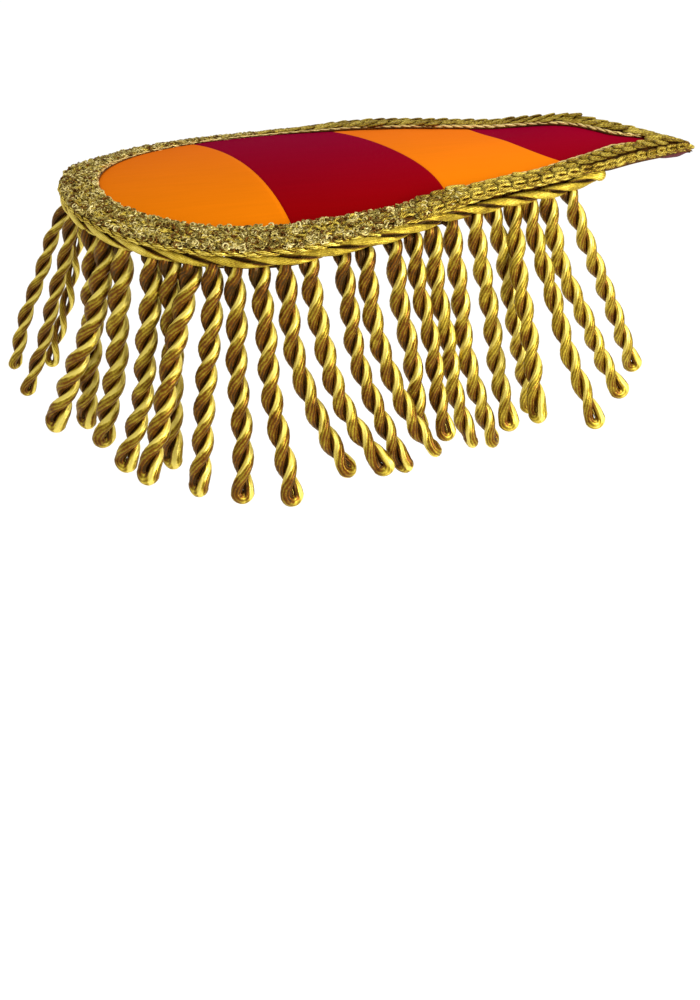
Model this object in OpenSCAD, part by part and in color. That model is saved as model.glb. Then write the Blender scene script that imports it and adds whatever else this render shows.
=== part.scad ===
// Epaulette: a shoulder board with slanted stripes, a gold braid edge and a hanging fringe.
// Millimetres, +Z up. X runs along the board from the round end to the point.
// The origin is on the board's underside, where it sits on the shoulder.

/* [Board] */
// Length from the round end to the point
board_length = 180; // [160:1:200]
// Width across the round end
board_width = 95.6; // [86:0.1:105]
// Half of the board's width where the strap ends and the point begins
strap_half_width = 19.1; // [17.5:0.1:20.5]
// Rise of the board's middle above its edges, per square millimetre of width
arch = 0.00266; // [0.0015:0.00001:0.0035]
// Droop of the pointed end, per square millimetre of length past the strap
tip_droop = 0.0033; // [0.001:0.0001:0.005]
// Thickness of the stiff backing
backing_thickness = 1.6; // [1.4:0.1:1.8]
// Thickness of the cloth stripes
panel_thickness = 1.0; // [0.8:0.1:1.2]

/* [Braid and header cord] */
// Width of the gold braid round the wide end
braid_width = 11.5; // [9:0.1:13]
// Width of the gold braid along the strap and the point
strap_braid_width = 7.1; // [6.4:0.1:7.8]
// How far the braid's outer edge bends down round the point
edge_fall = 1.9; // [1:0.1:2]
// Thickness of the gold braid
braid_thickness = 1.8; // [1.4:0.1:2.4]
// Outside radius of the two-ply header cord
header_radius = 2.3; // [1.8:0.1:2.4]
// Length of one full turn of the header cord
header_turn = 25; // [18:1:32]

/* [Fringe] */
// Length added to each fringe cord
extra_length = 0; // [-10:1:10]
// Outside radius of a fringe cord
cord_radius = 3; // [2.6:0.05:3.1]
// Length of one full turn of a fringe cord
cord_turn = 17.1; // [14:0.1:19]

/* [Clasp] */
// Length of the pin back under the board
clasp_length = 46; // [38:1:54]

/* [Hidden] */
$fn = 0;

// Colours
maroon = [0.25, 0.02, 0.05];
orange = [0.95, 0.45, 0.05];
crimson = [0.55, 0.0, 0.08];
gold = [0.85, 0.65, 0.2];
steel = [0.75, 0.75, 0.78];

// Heights of each layer above the crowned face that the braid lies on
gap = 0.3;
braid_low = -gap;
panel_high = -2 * gap;
panel_low = panel_high - panel_thickness;
backing_high = panel_low - gap;
backing_low = backing_high - backing_thickness;
header_inset = 1.6;
header_height = braid_low - gap - header_radius;
tape_high = backing_low - gap;
tape_low = tape_high - 3.2;
tape_inset = 4.9;
root_inset = 2.2;
root_height = -6.3;

// Sizes of the plan, scaled from a board 180 mm long and 95.6 mm wide
sx = board_length / 180;
sy = board_width / 95.6;
end_x = -80 * sx;
wide_x = -20.9 * sx;
corner_x = 68.5 * sx;
tip_x = end_x + board_length;
droop_x = 60 * sx;

// Half widths along the board between its widest place and the strap's end: place, half width
WIDTHS = [
  [-20.9 * sx, 47.8 * sy], [-6 * sx, 46 * sy], [8.9 * sx, 42.8 * sy], [23.8 * sx, 35.7 * sy],
  [38.7 * sx, 29.4 * sy], [53.6 * sx, 25.6 * sy], [68.5 * sx, strap_half_width]
];
last = len(WIDTHS) - 1;

// Seams between the stripes: x = a + b * v + c * v * v, where v runs -1 to 1 across the board
SEAMS = [
  [-27.3 * sx, -14.6 * sx, -2.2 * sx], [15.9 * sx, -15.9 * sx, -6.9 * sx],
  [47.9 * sx, -12.2 * sx, 0.8 * sx]
];

// Fringe cords: place round the edge from the strap's corner, lean along the edge towards the
// strap, swing outwards, drop, and how late the lean comes in
END_CORDS = [
  [192.4, 8.6, 15.2, 54.5, 1.8], [180.7, 4.4, 23.8, 48.9, 1], [168.9, -6.3, 19.8, 53.9, 0.9]
];
CORNER_CORDS = [
  [152.6, -6.8, 7.5, 57, 1.3], [146.3, -14.5, 16.4, 52.4, 1.5], [140.1, -7.9, 9.1, 55.2, 1.3],
  [130.6, -8.8, 11.3, 57.5, 1.9]
];
LEFT_CORDS = [
  [124.5, -4, 5.3, 57, 1], [118.2, -10.3, 21.5, 50.9, 0.9], [112.6, -6.1, 15.4, 56.9, 1.2]
];
MIDDLE_CORDS = [
  [106.8, -0.9, 14.1, 59, 0.8], [100, 4.4, 17.4, 58.1, 2.3], [93.3, 12.4, 11.3, 54.9, 3],
  [86.7, 13.2, 14.7, 54.3, 2.6]
];
RIGHT_CORDS = [
  [77.8, 10.6, 13.2, 56.7, 2.7], [71.7, 13.1, 12.3, 54.4, 3], [63.5, 2.6, 6.2, 52, 1.1],
  [57.3, 1.4, 10.3, 54.2, 1.3], [51.2, 5.1, 7.2, 62.1, 2.8], [45.2, 6.7, 7.3, 65.2, 3],
  [38.5, 3.5, 9.9, 60.1, 0.8]
];
STRAP_CORDS = [
  [32.8, 8.5, 4.1, 60.8, 0.8], [27.1, -3.6, 24.8, 50.8, 1.3], [22.4, 10.3, 21, 59.1, 1.3],
  [16.5, 17.1, 12, 58.3, 1.6], [9.4, 19.7, 5.7, 56.6, 1]
];

// Where the header tape of each group ends, counted like the cords' places
TAPE_ENDS = [198, 160.5, 127.5, 109.7, 82.3, 35.6, 3.5];

// Small helpers
function mix(a, b, t) = a + (b - a) * t;
function unit(v) = v / norm(v);
function ease(t) = let (c = min(1, max(0, t))) c * c * (3 - 2 * c);
function wrap(i, n) = (i % n + n) % n;

// Slope of the width table at a row, flat at the widest place
function slope(i) =
  i == 0 ? 0
  : i == last ? (WIDTHS[last].y - WIDTHS[last - 1].y) / (WIDTHS[last].x - WIDTHS[last - 1].x)
  : (WIDTHS[i + 1].y - WIDTHS[i - 1].y) / (WIDTHS[i + 1].x - WIDTHS[i - 1].x);

// Smooth half width on the stretch of the table that starts at row i
function width_at(x, i) =
  let (h = WIDTHS[i + 1].x - WIDTHS[i].x, t = (x - WIDTHS[i].x) / h)
  WIDTHS[i].y * (2 * pow(t, 3) - 3 * t * t + 1)
  + WIDTHS[i + 1].y * (3 * t * t - 2 * pow(t, 3))
  + h * slope(i) * (pow(t, 3) - 2 * t * t + t)
  + h * slope(i + 1) * (pow(t, 3) - t * t);

// Half of the outline, from the round end to the point, with positive y
round_steps = 12;
side_steps = 2;
tip_steps = 4;
HALF = concat(
  [
    for (i = [0 : round_steps - 1])
      let (a = 90 * i / round_steps)
      [end_x + (wide_x - end_x) * (1 - cos(a)), WIDTHS[0].y * sin(a)]
  ],
  [
    for (i = [0 : last - 1]) for (j = [0 : side_steps - 1])
      let (x = mix(WIDTHS[i].x, WIDTHS[i + 1].x, j / side_steps)) [x, width_at(x, i)]
  ],
  [
    for (i = [0 : tip_steps])
      let (t = i / tip_steps) [mix(corner_x, tip_x, t), strap_half_width * (1 - t)]
  ]
);
corner_i = round_steps + last * side_steps;
tip_i = len(HALF) - 1;

// The closed outline, from the round end along the fringed side to the point and back
RING = concat(
  [for (i = [0 : tip_i]) [HALF[i].x, -HALF[i].y]],
  [for (i = [tip_i - 1 : -1 : 1]) HALF[i]]
);
ring_n = len(RING);

// Outward direction at each outline point, long enough to keep a mitre's width; along the straight
// sides of the point it swings from the corner's mitre to the tip's
function side_normal(i) =
  let (d = unit(RING[wrap(i + 1, ring_n)] - RING[wrap(i, ring_n)])) [d.y, -d.x];
function mitre(i) = let (a = side_normal(i - 1), b = side_normal(i)) (a + b) / (1 + a * b);
OUTWARD = [
  for (i = [0 : ring_n - 1])
    let (
      t = max(0, 1 - abs(i - tip_i) / tip_steps),
      corner = i < tip_i ? corner_i : 2 * tip_i - corner_i
    )
    t > 0 ? mix(mitre(corner), mitre(tip_i), t) : mitre(i)
];
function inset_ring(d) = [for (i = [0 : ring_n - 1]) RING[i] - OUTWARD[i] * d];

// Half width of the outline moved in by d, found at x
function inset_table(d) =
  let (r = inset_ring(d)) [for (i = [0 : tip_i]) [r[i].x, -r[i].y]];

// Height of the crowned face that the braid lies on
function crown(x, y) =
  -backing_low - arch * y * y - tip_droop * pow(max(0, x - droop_x), 2);

// How far the edge hangs below the crowned face near the point
function fall(x) = edge_fall * ease((x - 50 * sx) / (25 * sx));

// Places counted round the edge from the strap's corner on the fringed side, with one step more
// beyond the corner
RUN = [for (i = [corner_i + 1 : -1 : -10]) wrap(i, ring_n)];
function step_length(i) = norm(RING[RUN[i]] - RING[RUN[i - 1]]);
function run_length(i) = i == 0 ? -step_length(1) : run_length(i - 1) + step_length(i);
RUN_TABLE = [for (i = [0 : len(RUN) - 1]) [run_length(i), i]];
function run_row(s) = min(len(RUN) - 1.001, lookup(s * sx, RUN_TABLE));
function run_mix(list, s) =
  let (r = run_row(s), i = floor(r)) mix(list[RUN[i]], list[RUN[i + 1]], r - i);
function edge_out(s) = unit(run_mix(OUTWARD, s));
function edge_point(s, inset, height) =
  let (o = run_mix(RING, s), p = o - edge_out(s) * inset)
  [p.x, p.y, crown(o.x, o.y) - fall(o.x) + height];

// A closed solid from rings of points, each ring counter-clockwise about the way along
function tube_faces(n, m) = concat(
  [for (i = [0 : n - 2]) for (j = [0 : m - 1])
    [i * m + j, (i + 1) * m + j, (i + 1) * m + (j + 1) % m]],
  [for (i = [0 : n - 2]) for (j = [0 : m - 1])
    [i * m + j, (i + 1) * m + (j + 1) % m, i * m + (j + 1) % m]],
  [[for (j = [0 : m - 1]) j]],
  [[for (j = [m - 1 : -1 : 0]) (n - 1) * m + j]]
);

// One cross-section of a two-ply cord: two plies side by side, turned by an angle
function ply_ring(c, way, side, radius, angle) =
  let (u = unit(cross(cross(way, side), way)), w = cross(way, u), h = radius * 0.53)
  [
    for (p = [
      [radius, 0], [radius * 0.5, h], [-radius * 0.5, h], [-radius, 0],
      [-radius * 0.5, -h], [radius * 0.5, -h]
    ])
      c + u * (p.x * cos(angle) - p.y * sin(angle)) + w * (p.x * sin(angle) + p.y * cos(angle))
  ];

// A cord along a path; radii holds one radius for each point of the path
module two_ply(path, radii, side, turn, start) {
  n = len(path);
  ways = [for (i = [0 : n - 1]) unit(path[min(n - 1, i + 1)] - path[max(0, i - 1)])];
  steps = [for (i = [0 : n - 1]) i == 0 ? 0 : norm(path[i] - path[i - 1])];
  function run(i) = i == 0 ? 0 : run(i - 1) + steps[i];
  polyhedron(
    points = [
      for (i = [0 : n - 1])
        each ply_ring(path[i], ways[i], side, radii[i], start + 360 * run(i) / turn)
    ],
    faces = tube_faces(n, 6)
  );
}

// One fringe cord: a short neck out of the tape, then the two plies down to a closed loop
module fringe_cord(row) {
  s = row[0];
  out = [edge_out(s).x, edge_out(s).y, 0];
  along = [-out.y, out.x, 0];
  drop = row[3] + extra_length;
  top = edge_point(s, root_inset, root_height);
  steps = 18;
  path = [
    for (i = [0 : steps])
      let (q = i / steps)
      top + along * row[1] * pow(q, row[4]) + out * row[2] * pow(q, 1.15) - [0, 0, drop * q]
  ];
  radii = [
    for (i = [0 : steps])
      cord_radius * (i == 0 ? 0.3 : i == steps ? 0.6 : 1)
  ];
  hull() {
    translate(edge_point(s, tape_inset, tape_low + 1.2)) cube(1, center = true);
    translate(top) cube([1.2, 1.2, 0.9], center = true);
  }
  two_ply(path, radii, [1, 0, 0], cord_turn, s * 37);
}

// The strip of header tape behind the header cord, between two places on the edge
module tape(s0, s1) {
  steps = 5;
  module post(s) {
    translate(edge_point(s, tape_inset, tape_low))
      rotate([0, 0, atan2(edge_out(s).y, edge_out(s).x)])
        translate([-0.6, -0.1, 0]) cube([1.2, 0.2, tape_high - tape_low]);
  }
  for (i = [0 : steps - 1]) {
    hull() {
      post(mix(s0, s1, i / steps));
      post(mix(s0, s1, (i + 1) / steps));
    }
  }
}

module fringe_group(rows, place) {
  color(gold) union() {
    tape(TAPE_ENDS[place] - gap, TAPE_ENDS[place + 1] + gap);
    for (row = rows) {
      fringe_cord(row);
    }
  }
}

// A cloth sheet over a grid of plan points: rows run across the board, one after another along it
module sheet(grid, low, high) {
  nu = len(grid) - 1;
  nv = len(grid[0]) - 1;
  top_n = (nu + 1) * (nv + 1);
  function t(i, j) = i * (nv + 1) + j;
  function b(i, j) = top_n + t(i, j);
  polyhedron(
    points = [
      for (h = [high, low]) for (row = grid) for (p = row) [p.x, p.y, crown(p.x, p.y) + h]
    ],
    faces = concat(
      [for (i = [0 : nu - 1]) for (j = [0 : nv - 1]) [t(i, j), t(i, j + 1), t(i + 1, j + 1)]],
      [for (i = [0 : nu - 1]) for (j = [0 : nv - 1]) [t(i, j), t(i + 1, j + 1), t(i + 1, j)]],
      [for (i = [0 : nu - 1]) for (j = [0 : nv - 1]) [b(i, j), b(i + 1, j + 1), b(i, j + 1)]],
      [for (i = [0 : nu - 1]) for (j = [0 : nv - 1]) [b(i, j), b(i + 1, j), b(i + 1, j + 1)]],
      [for (i = [0 : nu - 1]) [b(i, 0), t(i, 0), t(i + 1, 0)]],
      [for (i = [0 : nu - 1]) [b(i, 0), t(i + 1, 0), b(i + 1, 0)]],
      [for (i = [0 : nu - 1]) [b(i, nv), t(i + 1, nv), t(i, nv)]],
      [for (i = [0 : nu - 1]) [b(i, nv), b(i + 1, nv), t(i + 1, nv)]],
      [for (j = [0 : nv - 1]) [b(0, j + 1), t(0, j + 1), t(0, j)]],
      [for (j = [0 : nv - 1]) [b(0, j + 1), t(0, j), b(0, j)]],
      [for (j = [0 : nv - 1]) [b(nu, j), t(nu, j), t(nu, j + 1)]],
      [for (j = [0 : nv - 1]) [b(nu, j), t(nu, j + 1), b(nu, j + 1)]]
    )
  );
}

// The four stripes, under the braid's inner edge by 6 mm
PANEL_TABLE = inset_table(5);
panel_start = end_x + 7;
panel_end = tip_x - 11.5;
function seam(k, v) = SEAMS[k][0] + SEAMS[k][1] * v + SEAMS[k][2] * v * v;
function panel_grid(k, nu, nv) = [
  for (i = [0 : nu])
    [
      for (j = [0 : nv])
        let (
          v = -1 + 2 * j / nv,
          x0 = k == 0 ? panel_start : seam(k - 1, v) + gap / 2,
          x1 = k == 3 ? panel_end : seam(k, v) - gap / 2,
          x = mix(x0, x1, k == 0 ? 1 - cos(90 * i / nu) : i / nu)
        )
        [x, v * lookup(x, PANEL_TABLE)]
    ]
];

module panel_outer() {
  color(orange) sheet(panel_grid(0, 9, 8), panel_low, panel_high);
}

module panel_middle() {
  color(crimson) sheet(panel_grid(1, 7, 8), panel_low, panel_high);
}

module panel_strap() {
  color(orange) sheet(panel_grid(2, 5, 6), panel_low, panel_high);
}

module panel_tip() {
  color(crimson) sheet(panel_grid(3, 8, 4), panel_low, panel_high);
}

// The backing stops short of the header cord, and reaches the braid's edge elsewhere
NEAR_TABLE = inset_table(header_inset + header_radius + 0.5);
FAR_TABLE = inset_table(1.2);
backing_start = end_x + 6.2;
backing_end = tip_x - 5;
function backing_side(x, t) = mix(lookup(x, NEAR_TABLE), lookup(x, FAR_TABLE), ease(t));
function backing_near(x) = -backing_side(x, (x - corner_x - 6) / 8);
function backing_far(x) = backing_side(x, (x - end_x - 12) / 5);
function backing_x(t) = mix(backing_start, backing_end, 0.72 * t + 0.28 * t * t);

module backing() {
  nu = 22;
  nv = 6;
  color(maroon) sheet(
    [
      for (i = [0 : nu])
        let (x = backing_x(i / nu), y0 = backing_near(x), y1 = backing_far(x))
        [for (j = [0 : nv]) [x, mix(y0, y1, j / nv)]]
    ],
    backing_low,
    backing_high
  );
}

// Section of the braid: inset, height and share of the fall, for a band of width w
function braid_section(w) =
  let (r = 0.6, bend = 2.2, low = braid_low, high = braid_low + braid_thickness, m = (low + high) / 2)
  [
    [0, m, 1], [r, high, 0.7], [bend, high, 0], [w - r, high, 0], [w, m, 0], [w - r, low, 0],
    [bend, low, 0], [r, low, 0.7]
  ];
function width_of_braid(x) = mix(braid_width, strap_braid_width, ease(x / (45 * sx)));

// The braid follows the whole outline as a closed band with rounded edges
module braid() {
  m = 8;
  color(gold) polyhedron(
    points = [
      for (i = [0 : ring_n - 1]) for (q = braid_section(width_of_braid(RING[i].x)))
        let (p = RING[i] - OUTWARD[i] * q.x)
        [p.x, p.y, crown(p.x, p.y) + q.y - q.z * fall(RING[i].x)]
    ],
    faces = concat(
      [for (i = [0 : ring_n - 1]) for (j = [0 : m - 1])
        [i * m + j, (i * m + (j + 1) % m), wrap(i + 1, ring_n) * m + (j + 1) % m]],
      [for (i = [0 : ring_n - 1]) for (j = [0 : m - 1])
        [i * m + j, wrap(i + 1, ring_n) * m + (j + 1) % m, wrap(i + 1, ring_n) * m + j]]
    )
  );
}

// The header cord runs under the braid's outer edge and ends in a small knob at each end
module header_cord() {
  first = -4;
  final = 197;
  steps = 57;
  path = [
    for (i = [0 : steps]) edge_point(mix(first, final, i / steps), header_inset, header_height)
  ];
  radii = [
    for (i = [0 : steps]) i == 0 || i == steps ? header_radius * 0.6 : header_radius
  ];
  color(gold) two_ply(path, radii, [0, 0, 1], header_turn, 0);
}

// The pin back: a plate under the board with a pin held by two posts
module clasp() {
  plate = 1.0;
  post = 3.0;
  color(steel) union() {
    translate([-clasp_length / 2, -3.5, -gap - plate]) cube([clasp_length, 7, plate]);
    for (side = [-1, 1]) {
      translate([side * (clasp_length / 2 - 3) - 1.5, -1.5, -gap - plate - post])
        cube([3, 3, post + plate / 2]);
    }
    translate([-clasp_length / 2 + 3, 0, -gap - plate - post / 2 - 0.6])
      rotate([0, 90, 0]) cylinder(r = 0.6, h = clasp_length - 6);
  }
}

backing();
panel_outer();
panel_middle();
panel_strap();
panel_tip();
braid();
header_cord();
fringe_group(END_CORDS, 0);  // fringe_end
fringe_group(CORNER_CORDS, 1);  // fringe_corner
fringe_group(LEFT_CORDS, 2);  // fringe_left
fringe_group(MIDDLE_CORDS, 3);  // fringe_middle
fringe_group(RIGHT_CORDS, 4);  // fringe_right
fringe_group(STRAP_CORDS, 5);  // fringe_strap
clasp();
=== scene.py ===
import math

import bpy
import numpy as np
from bpy.props import FloatProperty, FloatVectorProperty, IntProperty, PointerProperty
from mathutils import Matrix, Vector


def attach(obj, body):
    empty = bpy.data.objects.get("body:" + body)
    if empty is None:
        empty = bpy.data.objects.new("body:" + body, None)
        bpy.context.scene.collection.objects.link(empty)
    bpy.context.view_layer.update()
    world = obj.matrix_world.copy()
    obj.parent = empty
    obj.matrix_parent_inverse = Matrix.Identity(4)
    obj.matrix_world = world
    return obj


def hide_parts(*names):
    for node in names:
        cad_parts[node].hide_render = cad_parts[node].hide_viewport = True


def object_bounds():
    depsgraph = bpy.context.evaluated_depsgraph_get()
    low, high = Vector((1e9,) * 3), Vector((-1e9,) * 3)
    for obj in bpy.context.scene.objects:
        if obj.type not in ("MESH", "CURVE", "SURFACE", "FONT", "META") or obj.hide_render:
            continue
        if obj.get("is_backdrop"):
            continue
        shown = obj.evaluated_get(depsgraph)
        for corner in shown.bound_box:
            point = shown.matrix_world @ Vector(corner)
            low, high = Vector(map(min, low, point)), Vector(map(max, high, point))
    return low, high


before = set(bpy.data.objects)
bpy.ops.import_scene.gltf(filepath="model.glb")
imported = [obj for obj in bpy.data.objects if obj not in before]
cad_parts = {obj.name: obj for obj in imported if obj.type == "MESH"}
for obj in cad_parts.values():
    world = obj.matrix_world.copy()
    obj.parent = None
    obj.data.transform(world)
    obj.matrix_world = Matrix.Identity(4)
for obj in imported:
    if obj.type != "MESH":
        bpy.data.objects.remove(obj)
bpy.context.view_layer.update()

bl_info = {
    "name": "Epaulette",
    "version": (1, 0, 0),
    "blender": (4, 5, 0),
    "location": "3D View > Sidebar > Epaulette",
    "description": "Dresses an epaulette: cloth stripes, gold braid, header cord, fringe and pin back",
    "category": "Object",
}

MM = 0.001
UP = np.array([0.0, 0.0, 1.0])
FULL_TURN = 2 * math.pi

# The board's plan and layers in millimetres, as the part's solids have them. Only the seams differ, by up to
# 4 mm under the far braid, where the cloth's curved joins were measured again.
END_X, WIDE_X, CORNER_X, TIP_X, DROOP_X = -80.0, -20.9, 68.5, 100.0, 60.0
HALF_STRAP, EDGE_FALL = 19.1, 1.9
ARCH, TIP_DROOP = 0.00266, 0.0033
# Half widths between the widest place and the strap's corner: place along X, half width
WIDTHS = [(-20.9, 47.8), (-6, 46), (8.9, 42.8), (23.8, 35.7), (38.7, 29.4), (53.6, 25.6), (68.5, HALF_STRAP)]
# Seams between the stripes: x = a + b * v + c * v * v, where v runs -1 to 1 across the board
SEAMS = [(-26.9, -16.1, -4.9), (16.8, -15.4, -7.2), (49.1, -12.0, 0.6)]
BRAID_LOW, BRAID_WIDTH, STRAP_BRAID_WIDTH = -0.3, 11.5, 7.1
PANEL_HIGH, PANEL_LOW = -0.6, -1.6
BACKING_HIGH, BACKING_LOW = -1.9, -3.5
HEADER_INSET, HEADER_HEIGHT, HEADER_RADIUS = 1.6, -2.9, 2.3
TAPE_INSET, TAPE_HIGH, TAPE_LOW = 4.9, -3.8, -7.0
ROOT_INSET, ROOT_HEIGHT = 2.2, -6.3

# Sizes that only this script has, in millimetres
# How far in from the edge the cloth ends
PANEL_INSET = 4.9
# Half of a seam's gap, then how deep and how wide the cloth dips beside it
SEAM_GAP, SEAM_DIP, SEAM_REACH = 0.03, 0.12, 0.35
# How far in from the edge the braid's links, stray yarns and curls lie
LINK_ROWS = (0.95, 2.6, 4.7, 6.9, 9.1)
STRAY_ROWS = (2.6, 4.0, 5.4, 6.8, 8.2, 9.4)
CURL_ROW, BARE_SPOTS = 5.75, 46
# How far a fringe cord wanders, half the width of its loop, and the turn of the loose one
CORD_WAVE, LOOP_HALF, LOOSE_TURN = 0.36, 1.56, -19.0
# From a cord's middle to a ply's middle, for the header cord and the braid's edge cords
HEADER_PLY_OFFSET, EDGE_PLY_OFFSET = 0.86, 0.42
# Half width and half thickness of a yarn, in metres
HEADER_YARN, EDGE_YARN, STRAY_YARN = (0.0011, 0.00088), (0.0006, 0.00046), (0.0005, 0.00038)

# How the cloth and braid wander from that plan: place along X, millimetres
FAR_WAVE = [(20, 0), (33, -0.4), (45, -0.85), (54, -0.5), (62, 0.1), (69, 0.35), (77, 0.15), (90, 0)]
FAR_FALL = [(48, 0), (58, -0.3), (69, -1.5), (75, -0.5), (84, 0.6), (92, 1.0), (98, 0.95)]
NEAR_WIDER = [
    (-18, 0), (0, -0.9), (15, -1.6), (30, -0.9), (45, 0), (50, 0), (61, 0.5), (72, 0.6), (82, 1.3),
    (86.5, 0.5), (89, -2.7), (90.5, -3.4), (100, 0),
]
FAR_WIDER = [
    (50, 0), (63, -0.9), (72, -0.5), (80, 0.7), (87, 1.8), (91, 1.4), (94.5, -1.8), (96, -2.4), (100, 0),
]
# Rise of the header cord: place round the edge, millimetres
HEADER_RISE = [
    (-2, 1.3), (2, 1.0), (8, -0.6), (14, -1.2), (34, -1.2), (40, -0.6), (46, 0.1), (51, 0.8), (57, 1.4),
    (66, 1.6), (74, 1.3), (82, 0.4), (92, 0),
]

# Fringe cords: place round the edge, lean, swing, drop and how late the lean comes in
FRINGE = {
    "fringe_end": [
        (192.4, 8.6, 15.2, 54.5, 1.8), (180.7, 4.4, 23.8, 48.9, 1), (168.9, -6.3, 19.8, 53.9, 0.9),
    ],
    "fringe_corner": [
        (152.6, -6.8, 7.5, 57, 1.3), (146.3, -14.5, 16.4, 52.4, 1.5), (140.1, -7.9, 9.1, 55.2, 1.3),
        (130.6, -8.8, 11.3, 57.5, 1.9),
    ],
    "fringe_left": [(124.5, -4, 5.3, 57, 1), (118.2, -10.3, 21.5, 50.9, 0.9), (112.6, -6.1, 15.4, 56.9, 1.2)],
    "fringe_middle": [
        (106.8, -0.9, 14.1, 59, 0.8), (100, 4.4, 17.4, 58.1, 2.3), (93.3, 12.4, 11.3, 54.9, 3),
        (86.7, 13.2, 14.7, 54.3, 2.6),
    ],
    "fringe_right": [
        (77.8, 10.6, 13.2, 56.7, 2.7), (71.7, 13.1, 12.3, 54.4, 3), (63.5, 2.6, 6.2, 52, 1.1),
        (57.3, 1.4, 10.3, 54.2, 1.3), (51.2, 5.1, 7.2, 62.1, 2.8), (45.2, 6.7, 7.3, 65.2, 3),
        (38.5, 3.5, 9.9, 60.1, 0.8),
    ],
    "fringe_strap": [
        (32.8, 8.5, 4.1, 60.8, 0.8), (27.1, -3.6, 24.8, 50.8, 1.3), (22.4, 10.3, 21, 59.1, 1.3),
        (16.5, 17.1, 12, 58.3, 1.6), (9.4, 19.7, 5.7, 56.6, 1),
    ],
}
# Places of the cord that is wound loosely, and of the one that swings out sooner
LOOSE_CORD, FLARED_CORD = 192.4, 180.7
# Where the header tape of each group ends, counted like the cords' places
TAPE_ENDS = [198, 160.5, 127.5, 109.7, 82.3, 35.6, 3.5]

# The lights and the photo's camera, in metres and radians. The camera turns by its yaw, pitch and roll.
TOP_LIGHT, SIDE_LIGHT, SIDE_AIM = (0.35, -0.3, 1.15), (0.33, -0.38, 0.05), (0.02, 0, -0.04)
CAMERA_PLACE, CAMERA_TURN = (-0.0185, -0.374, 0.13997), (0.0483, 0.455, -0.0676)
CAMERA_LENS, CAMERA_SHIFT = 50.76, (-0.004, -0.193)


# Settings


def colour(name, description, default):
    return FloatVectorProperty(
        name=name, description=description, default=default, subtype="COLOR", size=3, min=0, max=1
    )


def length(name, description, default, low, high):
    return FloatProperty(
        name=name, description=description, default=default, min=low, max=high,
        unit="LENGTH", subtype="DISTANCE",
    )


def amount(name, description, default, **more):
    return FloatProperty(name=name, description=description, default=default, min=0, **more)


def count(name, description, default, high=10000):
    return IntProperty(name=name, description=description, default=default, min=0, max=high)


class EPAULETTE_PG_cloth(bpy.types.PropertyGroup):
    """Colours of the board's cloth"""

    orange: colour("Orange", "Dye of the orange satin", (0.82, 0.195, 0.001))
    crimson: colour("Crimson", "Dye of the crimson satin", (0.26, 0.0, 0.001))
    maroon: colour("Maroon", "Dye of the felt under the board", (0.07, 0.01, 0.014))


class EPAULETTE_PG_braid(bpy.types.PropertyGroup):
    """Sizes of the gold braid"""

    link_spacing: length("Link spacing", "From one chain link to the next", 0.00405, 0.002, 0.006)
    link_length: length("Link length", "Length of a chain link", 0.0054, 0.003, 0.008)
    link_width: length("Link width", "Width of a chain link", 0.0019, 0.0015, 0.004)
    yarn_radius: length("Yarn radius", "Radius of the yarn in the links", 0.0005, 0.0002, 0.0008)
    crush: length("Crush", "How far the yarns stray round the crushed end", 0.0022, 0.0, 0.004)
    curls: count("Curls", "Loose curls on the crushed end", 3600, 6000)
    curl_size: length("Curl size", "Radius of a loose curl", 0.00058, 0.0003, 0.0015)
    seed: count("Seed", "Seed for what is random in the braid", 7)


class EPAULETTE_PG_cords(bpy.types.PropertyGroup):
    """Sizes and colours of the twisted cords"""

    turn: length("Fringe turn", "Length of one full turn of a fringe cord", 0.0171, 0.012, 0.02)
    ply_offset: length("Ply offset", "From a cord's middle to a ply's middle", 0.00131, 0.0008, 0.002)
    ply_width: length("Ply width", "Half width of a ply", 0.00152, 0.001, 0.0025)
    ply_height: length("Ply height", "Half thickness of a ply", 0.00152, 0.0008, 0.002)
    header_turn: length("Header turn", "Length of one full turn of the header cord", 0.025, 0.015, 0.035)
    seed: count("Seed", "Seed for what is random in the fringe", 11)
    # These five thread colours are lit and shaded copies of the gold: bright is the painted highlight, gold
    # the thread in plain light, olive, core and hollow are painted shade, deepest in the hollows
    bright: colour("Bright thread", "Gold thread where it catches the light", (0.8, 0.64, 0.13))
    gold: colour("Gold thread", "Gold thread in plain light", (0.56, 0.4, 0.035))
    olive: colour("Olive thread", "Gold thread in half shade", (0.25, 0.165, 0.012))
    core: colour("Core", "Reddish core between the threads", (0.14, 0.042, 0.003))
    hollow: colour("Hollow", "Deep brown of the hollows", (0.045, 0.02, 0.004))


class EPAULETTE_PG_stage(bpy.types.PropertyGroup):
    """Light and floor"""

    floor: colour("Floor", "Paint of the floor", (0.98, 0.98, 0.98))
    top_strength: amount("Top light", "Strength of the wide light from above", 1.15)
    side_power: amount("Side light", "Power of the low light on the right", 2.6, unit="POWER")
    surround: amount("Surround", "Strength of the room's own light", 0.72)


class EPAULETTE_PG_all(bpy.types.PropertyGroup):
    """All settings of the epaulette"""

    cloth: PointerProperty(type=EPAULETTE_PG_cloth)
    braid: PointerProperty(type=EPAULETTE_PG_braid)
    cords: PointerProperty(type=EPAULETTE_PG_cords)
    stage: PointerProperty(type=EPAULETTE_PG_stage)


# The board's shape


def unit(v):
    return v / np.maximum(np.linalg.norm(v, axis=-1, keepdims=True), 1e-12)


def smooth(x, low, high):
    t = np.clip((x - low) / (high - low), 0, 1)
    return t * t * (3 - 2 * t)


def looked_up(rows, x):
    """The value at x in a table of places and values."""
    return np.interp(x, *zip(*rows))


def rolled(v, n):
    return np.roll(v, n, axis=0)


def looped(rows):
    """The rows, with the first one again at the end."""
    return np.concatenate([rows, rows[:1]])


def run_along(points):
    """The length of a line up to each of its points."""
    return np.concatenate([[0], np.cumsum(np.linalg.norm(np.diff(points, axis=0), axis=1))])


def turned_way(aside, up, angle):
    """Ways across a line, turned from aside towards up."""
    return aside * np.cos(angle)[:, None] + up * np.sin(angle)[:, None]


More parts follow.
